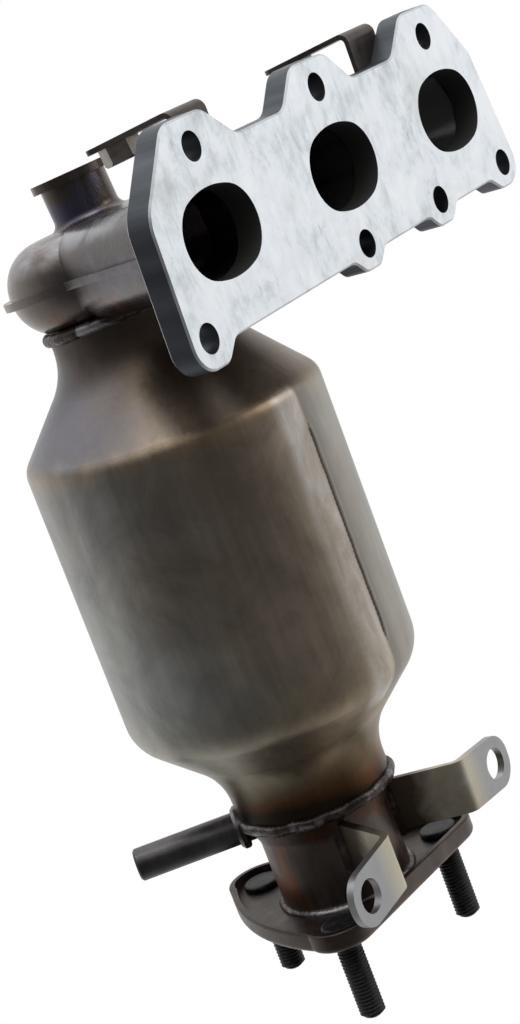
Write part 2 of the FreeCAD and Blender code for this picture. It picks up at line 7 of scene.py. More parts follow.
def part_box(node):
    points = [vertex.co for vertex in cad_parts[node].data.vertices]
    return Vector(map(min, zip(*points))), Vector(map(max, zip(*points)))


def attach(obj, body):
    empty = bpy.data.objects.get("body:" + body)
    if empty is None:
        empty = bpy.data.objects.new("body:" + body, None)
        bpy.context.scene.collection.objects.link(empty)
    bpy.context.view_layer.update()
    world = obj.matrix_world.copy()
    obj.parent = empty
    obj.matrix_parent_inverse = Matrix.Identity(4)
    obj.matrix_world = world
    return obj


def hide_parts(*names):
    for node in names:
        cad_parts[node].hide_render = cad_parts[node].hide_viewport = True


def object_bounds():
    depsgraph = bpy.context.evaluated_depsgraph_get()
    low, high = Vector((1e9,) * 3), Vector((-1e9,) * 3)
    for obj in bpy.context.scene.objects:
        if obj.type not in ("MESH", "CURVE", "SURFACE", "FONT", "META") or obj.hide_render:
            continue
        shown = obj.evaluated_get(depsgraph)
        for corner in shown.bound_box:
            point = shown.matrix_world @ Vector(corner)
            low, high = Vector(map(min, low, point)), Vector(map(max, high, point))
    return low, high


# Dresses the catalytic converter: materials for the CAD nodes, seven finer pieces, light and camera.
# Metres, in the part's frame: +X along the row of ports, +Y away from the engine, +Z up.

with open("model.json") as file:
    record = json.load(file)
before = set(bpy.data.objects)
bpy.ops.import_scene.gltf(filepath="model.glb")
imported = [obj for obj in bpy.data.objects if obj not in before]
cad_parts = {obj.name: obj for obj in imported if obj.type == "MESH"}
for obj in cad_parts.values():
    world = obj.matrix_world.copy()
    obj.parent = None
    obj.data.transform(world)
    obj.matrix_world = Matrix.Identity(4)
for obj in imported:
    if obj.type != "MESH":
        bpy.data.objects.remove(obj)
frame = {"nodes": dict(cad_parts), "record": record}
cad_low, cad_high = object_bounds()
nodes = frame["nodes"]

MM = 0.001
UPRIGHT = (1.0, 1.0, 0.0)       # keeps what lies across an upright line
ALONG_Y = (1.0, 0.0, 1.0)       # keeps what lies across a line along Y


# ---------------------------------------------------------------- node helpers

class Net:
    """A small wrapper that adds shader nodes to one material."""

    def __init__(self, name):
        self.material = bpy.data.materials.new(name)
        self.material.use_nodes = True
        self.tree = self.material.node_tree
        self.tree.nodes.clear()
        self.output = self.tree.nodes.new("ShaderNodeOutputMaterial")
        self.shader = self.tree.nodes.new("ShaderNodeBsdfPrincipled")
        self.tree.links.new(self.shader.outputs[0], self.output.inputs[0])

    def put(self, kind, values=(), **settings):
        node = self.tree.nodes.new("ShaderNode" + kind)
        for key, value in settings.items():
            setattr(node, key, value)
        for slot, value in dict(values).items():
            self.feed(node.inputs[slot], value)
        return node

    def feed(self, socket, value):
        if isinstance(value, bpy.types.NodeSocket):
            self.tree.links.new(value, socket)
        elif isinstance(value, Vector):
            socket.default_value = tuple(value)
        else:
            socket.default_value = value

    def position(self):
        return self.put("TexCoord").outputs["Object"]

    def normal(self):
        return self.put("NewGeometry").outputs["Normal"]

    def split(self, vector):
        return self.put("SeparateXYZ", {0: vector}).outputs

    def joined(self, value):
        return self.put("CombineXYZ", {0: value, 1: value, 2: value}).outputs[0]

    def scaled(self, vector, scale, turn=(0, 0, 0)):
        return self.put("Mapping", {"Vector": vector, "Scale": scale, "Rotation": turn}).outputs[0]

    def noise(self, vector, scale, detail=4.0, rough=0.55, distortion=0.0):
        return self.put("TexNoise", {
            "Vector": vector, "Scale": scale, "Detail": detail,
            "Roughness": rough, "Distortion": distortion}).outputs["Fac"]

    def math(self, operation, a, b=0.0):
        return self.put("Math", {0: a, 1: b}, operation=operation).outputs[0]

    def times(self, a, b):
        return self.math("MULTIPLY", a, b)

    def plus(self, a, b):
        return self.math("ADD", a, b)

    def absolute(self, value):
        return self.math("ABSOLUTE", value)

    def span(self, value, low, high, to_low=0.0, to_high=1.0):
        return self.put("MapRange", {
            "Value": value, "From Min": low, "From Max": high,
            "To Min": to_low, "To Max": to_high}, clamp=True).outputs[0]

    def ramp(self, value, stops):
        node = self.put("ValToRGB", {"Fac": value})
        elements = node.color_ramp.elements
        while len(elements) < len(stops):
            elements.new(0.5)
        for element, (place, colour) in zip(elements, stops):
            element.position = place
            element.color = (*colour, 1.0)
        return node.outputs["Color"]

    def mix(self, amount, a, b, blend="MIX"):
        node = self.put("Mix", data_type="RGBA", blend_type=blend)
        self.feed(node.inputs[0], amount)
        for slot, value in ((6, a), (7, b)):
            if isinstance(value, tuple):
                value = (*value, 1.0)
            self.feed(node.inputs[slot], value)
        return node.outputs[2]

    def tint(self, colour, mask, strength, target):
        """colour, drawn toward target where mask is 1, by strength at most."""
        return self.mix(self.times(mask, strength), colour, target)

    def darker(self, colour, shade):
        return self.mix(1.0, colour, shade, "MULTIPLY")

    def vector(self, operation, a, b):
        return self.put("VectorMath", {0: a, 1: b}, operation=operation).outputs[0]

    def away(self, place, centre):
        """The way from centre to place."""
        return self.vector("SUBTRACT", place, centre)

    def dot(self, a, b):
        return self.put("VectorMath", {0: a, 1: b}, operation="DOT_PRODUCT").outputs["Value"]

    def length(self, vector):
        return self.put("VectorMath", {0: vector}, operation="LENGTH").outputs["Value"]

    def distance(self, place, centre, across):
        """Distance from the line through centre that across leaves out."""
        return self.length(self.vector("MULTIPLY", self.away(place, centre), across))

    def bump(self, height, distance, strength):
        return self.put("Bump", {"Height": height, "Distance": distance, "Strength": strength}).outputs[0]

    def finish(self, colour, roughness, normal, metallic, specular=0.5):
        self.feed(self.shader.inputs["Base Color"], colour)
        self.feed(self.shader.inputs["Roughness"], roughness)
        self.feed(self.shader.inputs["Metallic"], metallic)
        self.feed(self.shader.inputs["Normal"], normal)
        self.shader.inputs["Specular IOR Level"].default_value = specular
        return self.material


class SkyNet(Net):
    """The same helper for the node tree of a world."""

    def __init__(self, world):
        world.use_nodes = True
        self.tree = world.node_tree
        self.tree.nodes.clear()
        self.output = self.tree.nodes.new("ShaderNodeOutputWorld")


# ---------------------------------------------------------------- places read from the frame

def centre_of(name):
    low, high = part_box(name)
    return (low + high) / 2


def across_of(name):
    """Half the width of a node along X, which is its radius where it is round."""
    low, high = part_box(name)
    return (high.x - low.x) / 2


axis = centre_of("catalyst_monolith")
can_low, can_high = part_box("canister_shell")
can_radius = across_of("canister_shell")
pipe_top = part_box("outlet_pipe")[1].z
plate_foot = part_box("outlet_flange")[0].z

mounts = {mount["name"]: mount for mount in frame["record"]["mounts"]}
boss_middle = Vector(mounts["sensor_thread"]["pos_m"])
stud_radius = mounts["outlet_studs"]["dims"]["stud_r_mm"] * MM

openings = {}
for opening in frame["record"]["physics"]["openings"]:
    openings[opening["name"]] = [Vector(corner) for corner in opening["box_m"]]
port_centres = [sum(openings[side + "_port_1"], Vector()) / 2 for side in ("left", "middle", "right")]
port_half = (openings["middle_port_1"][1].x - openings["middle_port_1"][0].x) / 2
port_reach = port_half + 0.008      # a little past a port's wall
runner_reach = 0.0225               # walls nearer a runner's middle line than this may be painted black, as soot and as the shade inside
soft_edge = 0.001

# the collector's seam plane: the sensor boss stands square on it
seam_normal = Vector(mounts["sensor_thread"]["axis"]).normalized()
seam_slope = seam_normal.y / seam_normal.z
seam_point = Vector((0.0, 0.010, 0.001))

# the canister's lengthwise seam where the photograph shows it: the CAD's seam lies further round
can_seam_low, can_seam_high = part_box("canister_seam_weld")
can_seam_turn = math.radians(-90)
can_seam_out = Vector((math.cos(can_seam_turn), math.sin(can_seam_turn), 0.0))
can_seam_side = Vector((-can_seam_out.y, can_seam_out.x, 0.0))
can_seam_foot = Vector((axis.x, axis.y, 0.0)) + can_seam_out * can_radius

# the camera, fitted to the photograph's ports and holes
eye = Vector((-0.69756, -0.44016, 0.07452))
right = Vector((0.50514, -0.79169, -0.34360))
up = Vector((0.37171, -0.15972, 0.91450))
back = Vector((-0.77888, -0.58967, 0.21360))
right_level = Vector((right.x, right.y, 0.0)).normalized()


# ---------------------------------------------------------------- colours

# black painted inside the gas passages: soot, and also the shade deep inside them
soot_and_shade_black = (0.045, 0.045, 0.043)
grime_brown = (0.045, 0.038, 0.034)

milled = [
    (0.38, (0.52, 0.55, 0.59)), (0.45, (0.70, 0.74, 0.78)), (0.50, (0.84, 0.88, 0.92)),
    (0.58, (0.93, 0.96, 0.99))]
blanked_edge = [
    (0.3, (0.050, 0.056, 0.064)), (0.55, (0.080, 0.088, 0.100)), (0.8, (0.125, 0.135, 0.15))]
brown = [
    (0.30, (0.050, 0.041, 0.037)), (0.42, (0.080, 0.067, 0.062)), (0.54, (0.125, 0.108, 0.102)),
    (0.66, (0.19, 0.175, 0.17)), (0.80, (0.30, 0.285, 0.285))]
grey = [
    (0.28, (0.31, 0.31, 0.30)), (0.44, (0.40, 0.40, 0.395)), (0.58, (0.45, 0.45, 0.445)),
    (0.74, (0.52, 0.52, 0.515))]
dark = [
    (0.28, (0.045, 0.038, 0.036)), (0.42, (0.080, 0.066, 0.060)), (0.56, (0.115, 0.098, 0.090)),
    (0.75, (0.19, 0.165, 0.15))]
murky = [
    (0.28, (0.050, 0.039, 0.034)), (0.42, (0.085, 0.066, 0.058)), (0.56, (0.12, 0.097, 0.086)),
    (0.75, (0.18, 0.157, 0.142))]
black = [
    (0.28, (0.055, 0.051, 0.053)), (0.44, (0.085, 0.080, 0.083)), (0.58, (0.12, 0.115, 0.12)),
    (0.78, (0.20, 0.195, 0.20))]
tan = [
    (0.28, (0.30, 0.26, 0.20)), (0.44, (0.42, 0.38, 0.30)), (0.58, (0.50, 0.46, 0.37)),
    (0.78, (0.60, 0.56, 0.48))]
nickel = [
    (0.28, (0.16, 0.145, 0.13)), (0.45, (0.30, 0.27, 0.24)), (0.60, (0.42, 0.39, 0.35)),
    (0.78, (0.60, 0.57, 0.52))]
weld_scale = [
    (0.30, (0.025, 0.021, 0.020)), (0.45, (0.060, 0.047, 0.042)), (0.55, (0.11, 0.088, 0.082)),
    (0.64, (0.19, 0.18, 0.19)), (0.76, (0.42, 0.41, 0.40))]
phosphate = [
    (0.3, (0.012, 0.012, 0.013)), (0.6, (0.035, 0.034, 0.035)), (0.85, (0.10, 0.095, 0.09))]
clay = [(0.3, (0.36, 0.29, 0.20)), (0.7, (0.62, 0.54, 0.42))]
fibre = [(0.3, (0.45, 0.42, 0.36)), (0.7, (0.82, 0.80, 0.74))]

# the canister's tints from its lower end to its upper end, as shares of its height
can_bands = [
    (0.050, (0.085, 0.064, 0.050)), (0.072, (0.33, 0.17, 0.09)), (0.095, (0.46, 0.37, 0.26)),
    (0.17, (0.92, 0.86, 0.68)), (0.33, (0.88, 0.88, 0.85)), (0.745, (0.82, 0.80, 0.77)),
    (0.775, (1.0, 0.88, 0.72)), (0.795, (0.66, 0.63, 0.60)), (0.90, (0.42, 0.385, 0.36)),
    (0.97, (0.26, 0.22, 0.20))]


# ---------------------------------------------------------------- head flange

def milled_face(net, place, streak, blotch):
    """The bright sealing face: cutter streaks, stains and darker scuffs."""
    broad = net.noise(place, 14, 3, 0.5, 0.3)
    mottle = net.noise(net.scaled(place, (1, 1, 0.6)), 130, 5, 0.7, 0.5)
    tone = net.plus(net.times(streak, 0.13), net.times(blotch, 0.35))
    tone = net.plus(tone, net.times(broad, 0.22))
    tone = net.plus(tone, net.times(mottle, 0.30))
    face = net.ramp(tone, milled)
    scuff_grain = net.scaled(place, (1, 1, 0.35), (0, 0.5, 0))
    scuff = net.span(net.noise(scuff_grain, 210, 5, 0.75, 0.4), 0.62, 0.70)
    face = net.tint(face, scuff, 0.45, (0.24, 0.25, 0.27))
    stain = net.span(net.noise(place, 26, 4, 0.6, 0.4), 0.58, 0.72)
    return net.tint(face, stain, 0.35, (0.50, 0.50, 0.46))


def near_ports(net, place):
    """1 on the walls of the three ports."""
    mask = 0.0
    for centre in port_centres:
        reach = net.distance(place, centre, ALONG_Y)
        mask = net.math("MAXIMUM", mask, net.span(reach, port_reach + soft_edge, port_reach))
    return mask


def flange_material():
    """Milled on its two faces, dark on its blanked edge, and black in the ports: soot, and painted shade
    inside them.
    """
    net = Net("machined_flange")
    place = net.position()
    streak = net.noise(net.scaled(place, (150, 150, 12)), 3.0, 6, 0.65)
    blotch = net.noise(place, 48, 6, 0.62, 0.7)
    fine = net.noise(place, 900, 2, 0.5)
    edge = net.ramp(net.noise(net.scaled(place, (1, 0.15, 1)), 120, 4, 0.5), blanked_edge)
    side = net.span(net.absolute(net.split(net.normal())[1]), 0.80, 0.55)
    colour = net.mix(side, milled_face(net, place, streak, blotch), edge)
    # painted black in the ports: soot, and the shade inside them
    sooty_and_shaded = net.times(near_ports(net, place), side)
    colour = net.mix(sooty_and_shaded, colour, soot_and_shade_black)
    rough = net.plus(0.36, net.times(blotch, 0.16))
    height = net.plus(net.times(streak, 0.2), net.times(fine, 0.4))
    return net.finish(colour, rough, net.bump(height, 0.00025, 0.25), net.span(sooty_and_shaded, 0.0, 1.0, 0.88, 0.0))


# ---------------------------------------------------------------- steel with heat tints

def heat_steel(name, stops, streak, blotch_scale, rough, bump=0.3, grime=0.35, soot_and_shade=None, extra=None):
    """Steel in stops, from dark to light patches. extra tints it, and a mask for its gas side paints that
    black, partly as soot and partly as the shade inside the passages.
    """
    net = Net(name)
    place = net.position()
    blotch = net.noise(place, blotch_scale, 6, 0.6, 0.6)
    lines = net.noise(net.scaled(place, streak), 3.0, 6, 0.6)
    fine = net.noise(place, 1100, 3, 0.6)
    colour = net.ramp(net.plus(net.times(blotch, 0.72), net.times(lines, 0.28)), stops)
    if extra:
        colour = extra(net, place, colour)
    dirt = net.span(net.noise(place, 75, 6, 0.7, 0.4), 0.58, 0.74)
    colour = net.tint(colour, dirt, grime, grime_brown)
    metallic = 0.92
    if soot_and_shade:
        mask = soot_and_shade(net)
        colour = net.mix(mask, colour, soot_and_shade_black)
        metallic = net.span(mask, 0.0, 1.0, metallic, 0.0)
    roughness = net.span(net.plus(lines, blotch), 0.7, 1.3, *rough)
    height = net.plus(net.times(lines, 0.5), net.times(fine, 0.25))
    height = net.plus(height, net.times(blotch, 1.2))
    return net.finish(colour, roughness, net.bump(height, 0.0006, bump), metallic)


def tube_soot_and_shade(net):
    """The gas side of the canister and the pipe: walls that face their upright axis, where black is painted
    as soot and as the shade inside the tubes.
    """
    level = net.vector("MULTIPLY", net.away(net.position(), axis), UPRIGHT)
    return net.span(net.dot(level, net.normal()), 0.0, -0.004)


def runner_soot_and_shade(net, place, normal, centre):
    """1 on the walls that face the middle of the runner that starts at centre."""
    start = Vector((centre.x, seam_point.y, seam_point.z))
    run = Vector((axis.x, axis.y, seam_point.z - (axis.y - seam_point.y) * seam_slope)) - start
    way = run.normalized()
    off = net.away(place, start)
    along = net.put("Clamp", {"Value": net.dot(off, way), "Min": 0.0, "Max": run.length}).outputs[0]
    step = net.put("VectorMath", {0: way, "Scale": along}, operation="SCALE").outputs[0]
    off = net.vector("SUBTRACT", off, step)
    near = net.span(net.length(off), runner_reach + soft_edge, runner_reach)
    inward = net.span(net.dot(off, normal), 0.0, -0.003)
    return net.times(near, inward)


def collector_soot_and_shade(net):
    """The gas side of the collector: the runners' insides, and the dome's roof and floor, where black is
    painted as soot and as the shade inside.
    """
    place = net.position()
    normal = net.normal()
    rise = net.dot(net.away(place, seam_point), seam_normal)
    mask = net.span(net.times(rise, net.dot(normal, seam_normal)), -0.0004, -0.0018)
    for centre in port_centres:
        mask = net.math("MAXIMUM", mask, runner_soot_and_shade(net, place, normal, centre))
    return mask


def collector_highlight_and_blue(net, place, colour):
    """A painted highlight on the shoulder that faces the top light, broken up by noise, and blue patches.
    """
    # painted highlight: a silvery tint where the surface faces up and to the left, toward the top light
    highlight_facing = Vector((-0.62, 0.10, 0.78)).normalized()
    shoulder_highlight = net.span(net.dot(net.normal(), highlight_facing), 0.84, 0.97)
    highlight_breakup = net.span(net.noise(net.scaled(place, (1.0, 0.35, 1.0)), 60, 4, 0.6, 0.5), 0.40, 0.58)
    colour = net.tint(colour, net.times(shoulder_highlight, highlight_breakup), 0.75, (0.42, 0.42, 0.45))
    blue = net.span(net.noise(place, 22, 3, 0.5, 1.2), 0.54, 0.68)
    return net.tint(colour, blue, 0.5, (0.145, 0.150, 0.185))


def collector_tints(net, place, colour):
    """Darker along the seam lip, painted shade that darkens the runners against a lighter, warmer far end,
    and rusty below the seam.
    """
    rise = net.dot(net.away(place, seam_point), seam_normal)
    wobble = net.times(net.noise(place, 60, 3), 0.006)
    near_seam = net.span(net.math("SUBTRACT", net.absolute(rise), wobble), 0.0035, -0.0015)
    colour = net.tint(colour, near_seam, 0.6, (0.085, 0.070, 0.090))
    # painted shade: the runners short of the far end are darkened, and the far end is drawn lighter and
    # warmer
    far = net.span(net.split(place)[1], 0.070, 0.115)
    colour = net.mix(far, net.darker(colour, (0.62, 0.60, 0.60)), colour)
    colour = net.tint(colour, far, 0.6, (0.29, 0.245, 0.215))
    colour = collector_highlight_and_blue(net, place, colour)
    below = net.span(net.plus(rise, net.times(net.noise(place, 90, 4), 0.010)), 0.002, -0.008)
    colour = net.tint(colour, below, 0.6, (0.105, 0.072, 0.058))
    rust = net.span(net.noise(place, 45, 4, 0.6, 0.5), 0.52, 0.62)
    return net.tint(colour, net.times(rust, below), 0.7, (0.19, 0.080, 0.050))


def beside_seam(net, place, colour, body):
    """A painted highlight stripe on one side of the canister's seam, and scorched, greyer metal on the
    other.

    side is the distance from the seam, and it grows to the right of it.
    """
    away = net.away(place, can_seam_foot)
    side = net.dot(away, can_seam_side)
    front = net.times(net.span(net.dot(away, can_seam_out), -0.012, -0.008), body)
    highlight_breakup = net.noise(net.scaled(place, (1.0, 1.0, 0.3)), 70, 6, 0.7, 0.5)
    highlight_breakup = net.span(highlight_breakup, 0.36, 0.60, 0.15, 1.0)
    # painted highlight: a silvery stripe beside the seam, broken up by noise
    seam_highlight = net.times(net.span(side, -0.0165, -0.0120), net.span(side, -0.0008, -0.0028))
    seam_highlight = net.times(net.times(seam_highlight, highlight_breakup), front)
    colour = net.tint(colour, seam_highlight, 0.75, (0.62, 0.59, 0.56))
    patchy = net.noise(net.scaled(place, (1.0, 1.0, 0.25)), 60, 5, 0.65, 0.5)
    patchy = net.span(patchy, 0.38, 0.60, 0.35, 0.7)
    beyond = net.times(net.times(net.span(side, -0.001, 0.003), front), patchy)
    colour = net.mix(beyond, colour, (0.33, 0.335, 0.31))
    scorch = net.times(net.span(side, -0.0016, -0.0004), net.span(side, 0.0085, 0.0030))
    return net.tint(colour, net.times(scorch, front), 0.55, (0.16, 0.155, 0.145))


def canister_patina(net, place, colour):
    """Smears that run down the canister, broken up by patches."""
    smear = net.span(net.noise(net.scaled(place, (26, 26, 3.0)), 1.0, 5, 0.55, 0.6), 0.36, 0.64, 0.74, 1.08)
    patina = net.span(net.noise(place, 36, 6, 0.65, 0.8), 0.36, 0.66, 0.80, 1.12)
    return net.darker(colour, net.joined(net.times(smear, patina)))


def canister_tints(net, place, colour):
    """Grey on one side and straw on the other, banded by heat from end to end."""
    colour = canister_patina(net, place, colour)
    across = net.math("DIVIDE", net.dot(net.away(place, axis), right_level), can_radius)
    drift = net.times(net.math("SUBTRACT", net.noise(place, 22, 4), 0.5), 1.1)
    warm = net.span(net.plus(across, drift), -0.55, 0.15)
    colour = net.mix(warm, colour, net.darker(colour, (1.0, 0.84, 0.69)))
    wobble = net.times(net.noise(place, 34, 4), 0.012)
    height = net.span(net.plus(net.split(place)[2], wobble), can_low.z, can_high.z)
    colour = net.darker(colour, net.ramp(height, can_bands))
    cone = net.times(net.span(height, 0.775, 0.81), net.span(height, 0.95, 0.88))
    patch = net.span(net.plus(across, net.times(drift, 0.8)), 0.05, -0.45)
    colour = net.tint(colour, net.times(cone, patch), 0.65, (0.17, 0.165, 0.205))
    return beside_seam(net, place, colour, net.span(height, 0.79, 0.77))


def boss_tints(net, place, colour):
    """Blue patches on the sensor boss, and a brown foot."""
    along = net.dot(net.away(place, boss_middle), seam_normal)
    patch = net.span(net.noise(place, 60, 3, 0.5, 0.6), 0.52, 0.62)
    colour = net.tint(colour, patch, 0.7, (0.075, 0.078, 0.145))
    foot = net.span(net.plus(along, net.times(net.noise(place, 150, 3), 0.006)), -0.004, -0.012)
    return net.tint(colour, foot, 0.75, (0.17, 0.13, 0.105))


def pipe_tints(net, place, colour):
    """Orange patches on the outlet pipe, burnt dark near its weld."""
    patch = net.span(net.noise(place, 40, 3, 0.5, 0.6), 0.50, 0.60)
    colour = net.tint(colour, patch, 0.75, (0.22, 0.085, 0.038))
    ripple = net.times(net.noise(place, 90, 4, 0.6, 0.5), 0.016)
    height = net.plus(net.split(place)[2], ripple)
    burnt = net.span(height, pipe_top - 0.016, pipe_top - 0.004)
    return net.tint(colour, burnt, 0.75, (0.040, 0.033, 0.030))


def arm_tints(net, place, colour):
    """Support arms are burnt at the root and plain grey at the tip."""
    ripple = net.times(net.noise(place, 80, 4, 0.6, 0.5), 0.014)
    root = net.span(net.plus(net.distance(place, axis, UPRIGHT), ripple), 0.052, 0.043)
    colour = net.tint(colour, root, 0.93, (0.065, 0.045, 0.033))
    sideways = net.absolute(net.math("SUBTRACT", net.split(place)[0], axis.x))
    tip = net.span(sideways, 0.034, 0.043)
    return net.tint(colour, tip, 0.9, (0.33, 0.335, 0.35))


def plate_straw_and_top_shade(net, place, colour):
    """Straw patches on the outlet flange, and painted shade that darkens its top."""
    top = net.span(net.split(net.normal())[2], 0.55, 0.85)
    straw = net.span(net.noise(place, 38, 4, 0.6, 0.5), 0.54, 0.64)
    colour = net.tint(colour, straw, 0.5, (0.20, 0.145, 0.085))
    # painted shade: the up-facing top is drawn toward near-black, while the sides are only slightly
    # darkened
    plain = net.darker(colour, (0.9, 0.9, 0.9))
    scaled = net.mix(0.65, colour, (0.03, 0.025, 0.023))
    return net.mix(top, plain, scaled)


# ---------------------------------------------------------------- other materials

def weld_material():
    """Scaled weld metal with a few bright patches, which are partly bare metal and partly painted
    highlights.
    """
    net = Net("weld_metal")
    place = net.position()
    colour = net.ramp(net.noise(place, 110, 5, 0.65, 0.6), weld_scale)
    rough = net.span(net.noise(place, 500, 3), 0.3, 0.7, 0.22, 0.5)
    grit = net.bump(net.noise(place, 1500, 3, 0.6), 0.0003, 0.4)
    # bright patches: bare metal, and painted highlights that stand in for glints on the lumps
    bare_metal_and_glint = net.span(net.noise(place, 48, 3, 0.5, 0.5), 0.57, 0.64)
    colour = net.tint(colour, bare_metal_and_glint, 0.8, (0.44, 0.44, 0.45))
    return net.finish(colour, rough, grit, 0.85)


def stud_material():
    """The studs' black coating."""
    net = Net("black_stud")
    place = net.position()
    tone = net.noise(place, 380, 4, 0.6)
    rough = net.span(tone, 0.3, 0.7, 0.3, 0.6)
    grit = net.bump(net.noise(place, 1800, 2), 0.0002, 0.3)
    return net.finish(net.ramp(tone, phosphate), rough, grit, 0.7)


def honeycomb_material():
    """Fine square cells on the ends of the catalyst block, the open cells painted near-black as the shade
    inside them.
    """
    cell = 0.00127
    half_open = 0.36
    net = Net("cordierite_cells")
    place = net.position()
    hole = 1.0
    for value in net.split(place)[:2]:
        share = net.math("FRACT", net.math("DIVIDE", value, cell))
        open_here = net.math("LESS_THAN", net.absolute(net.math("SUBTRACT", share, 0.5)), half_open)
        hole = net.times(hole, open_here)
    end = net.math("GREATER_THAN", net.absolute(net.split(net.normal())[2]), 0.8)
    hole = net.times(hole, end)
    # painted shade: the open cells are near-black
    colour = net.mix(hole, net.ramp(net.noise(place, 70, 4), clay), (0.02, 0.018, 0.015))
    walls = net.bump(net.math("SUBTRACT", 1.0, hole), 0.0006, 0.8)
    return net.finish(colour, 0.9, walls, 0.0, 0.2)


def mat_material():
    """Pressed ceramic fibre."""
    net = Net("fibre_mat")
    weave = net.noise(net.scaled(net.position(), (1, 1, 5)), 700, 5, 0.7)
    return net.finish(net.ramp(weave, fibre), 0.95, net.bump(weave, 0.0006, 0.6), 0.0, 0.1)


materials = {
    "flange": flange_material(),
    "collector": heat_steel("collector_steel", brown, (60, 60, 60), 26, (0.18, 0.34),
                            soot_and_shade=collector_soot_and_shade, extra=collector_tints),
    "canister": heat_steel("canister_steel", grey, (150, 150, 7), 20, (0.32, 0.44), 0.18, 0.16,
                           soot_and_shade=tube_soot_and_shade, extra=canister_tints),
    "boss": heat_steel("boss_steel", murky, (400, 400, 14), 60, (0.16, 0.32), extra=boss_tints),
    "bracket": heat_steel("shield_bracket_steel", dark, (60, 60, 60), 50, (0.30, 0.50), 0.35),
    "arm": heat_steel("arm_steel", tan, (50, 50, 50), 45, (0.32, 0.48), 0.25, 0.2, extra=arm_tints),
    "pipe": heat_steel("pipe_steel", murky, (120, 120, 12), 35, (0.28, 0.50),
                       soot_and_shade=tube_soot_and_shade, extra=pipe_tints),
    "plate": heat_steel("outlet_flange_steel", murky, (50, 50, 50), 40, (0.28, 0.5), 0.4,
                        extra=plate_straw_and_top_shade),
    "nut": heat_steel("weld_nut_steel", nickel, (50, 50, 50), 90, (0.25, 0.45), 0.4),
    "rod": heat_steel("rod_steel", black, (50, 50, 50), 70, (0.30, 0.48)),
    "weld": weld_material(),
    "stud": stud_material(),
    "cells": honeycomb_material(),
    "mat": mat_material(),
}

# what is neither listed here nor a stud is a weld
dress = {
    "head_flange": "flange",
    "collector_upper_shell": "collector",
    "collector_lower_shell": "collector",
    "canister_shell": "canister",
    "canister_seam_weld": "canister",
    "catalyst_monolith": "cells",
    "support_mat": "mat",
    "sensor_boss": "boss",
    "boss_weld": "boss",
    "shield_bracket_left": "bracket",
    "shield_bracket_right": "bracket",
    "weld_nut_left": "nut",
    "weld_nut_right": "nut",
    "outlet_pipe": "pipe",
    "outlet_flange": "plate",
    "hanger_rod": "rod",
    "support_bracket_left": "arm",
    "support_bracket_right": "arm",
}
for name, node in nodes.items():
    other = "stud" if name.startswith("outlet_stud") else "weld"
    node.data.materials.clear()
    node.data.materials.append(materials[dress.get(name, other)])


# ---------------------------------------------------------------- mesh pieces

def add_piece(name, points, faces, kind, replaced):
    mesh = bpy.data.meshes.new(name)
    mesh.from_pydata(points, [], faces)
    mesh.update()
    for polygon in mesh.polygons:
        polygon.use_smooth = True
    piece = bpy.data.objects.new(name, mesh)
    bpy.context.scene.collection.objects.link(piece)
    mesh.materials.append(materials[kind])
    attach(piece, "root")
    if replaced:
        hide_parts(*replaced)


def grid_faces(rows, columns, closed_rows=False):
    """Faces over a grid whose columns close on themselves, and whose rows do so if asked."""
    faces = []
    for i in range(rows if closed_rows else rows - 1):
        for j in range(columns):
            a = i * columns + j
            b = i * columns + (j + 1) % columns
            c = ((i + 1) % rows) * columns + (j + 1) % columns
            d = ((i + 1) % rows) * columns + j
            faces.append((a, b, c, d))
    return faces


# ---------------------------------------------------------------- weld beads

bead_sides = 14
ripple_pitch = 0.0021
ripple_lag = 0.0009         # how far a ripple's underside trails behind its crest
bead_share = 0.93           # the bead's mean radius, as a share of its size
ripple_share = 0.06
lump_scale = 160
lump_turn = 0.4             # how much the lumps change round the bead


def way_along(path, index, closed):
    """The direction in which a path runs at one of its points."""
    if closed:
        return (path[(index + 1) % len(path)][0] - path[index - 1][0]).normalized()
    index = min(index, len(path) - 2)
    return (path[index + 1][0] - path[max(index - 1, 0)][0]).normalized()


def bead_ring(place, out, ahead, travelled, size, seed, stretch, lumps):
    """The bead's section at one place: a ring that ripples and lumps."""
    out = (out - ahead * out.dot(ahead)).normalized()
    side = ahead.cross(out)
    ring = []
    for step in range(bead_sides):
        turn = 2 * math.pi * step / bead_sides
        lag = ripple_lag * (1 - math.cos(turn)) * 0.5
        wave = math.sin(2 * math.pi * (travelled + lag) / ripple_pitch)
        lump = noise.noise(place * lump_scale + Vector((seed, turn * lump_turn, 0)))
        reach = size * (bead_share + ripple_share * wave + lumps * lump)
        ring.append(place + out * (math.cos(turn) * reach) + side * (math.sin(turn) * reach * stretch))
    return ring


def weld_bead(name, path, size, replaced, seed, closed=True, stretch=1.0, lumps=0.13, kind="weld"):
    """A rippled bead along path, which holds points and an outward direction for each."""
    points = []
    travelled = 0.0
    for index, (place, out) in enumerate(path):
        if index:
            travelled += (place - path[index - 1][0]).length
        ahead = way_along(path, index, closed)
        points += bead_ring(place, out, ahead, travelled, size, seed, stretch, lumps)
    faces = grid_faces(len(path), bead_sides, closed)
    if not closed:
        faces.append(tuple(range(bead_sides - 1, -1, -1)))
        faces.append(tuple(range(len(points) - bead_sides, len(points))))
    add_piece(name, points, faces, kind, replaced)


def circle_path(centre, radius, direction, out_tilt):
    """Points round a circle, each with the direction that leans from outwards to the axis."""
    steps = 220
    direction = direction.normalized()
    first = direction.orthogonal().normalized()
    second = direction.cross(first)
    path = []
    for step in range(steps):
        turn = 2 * math.pi * step / steps
        away = first * math.cos(turn) + second * math.sin(turn)
        out = away * math.cos(out_tilt) + direction * math.sin(out_tilt)
        path.append((centre + away * radius, out))
    return path


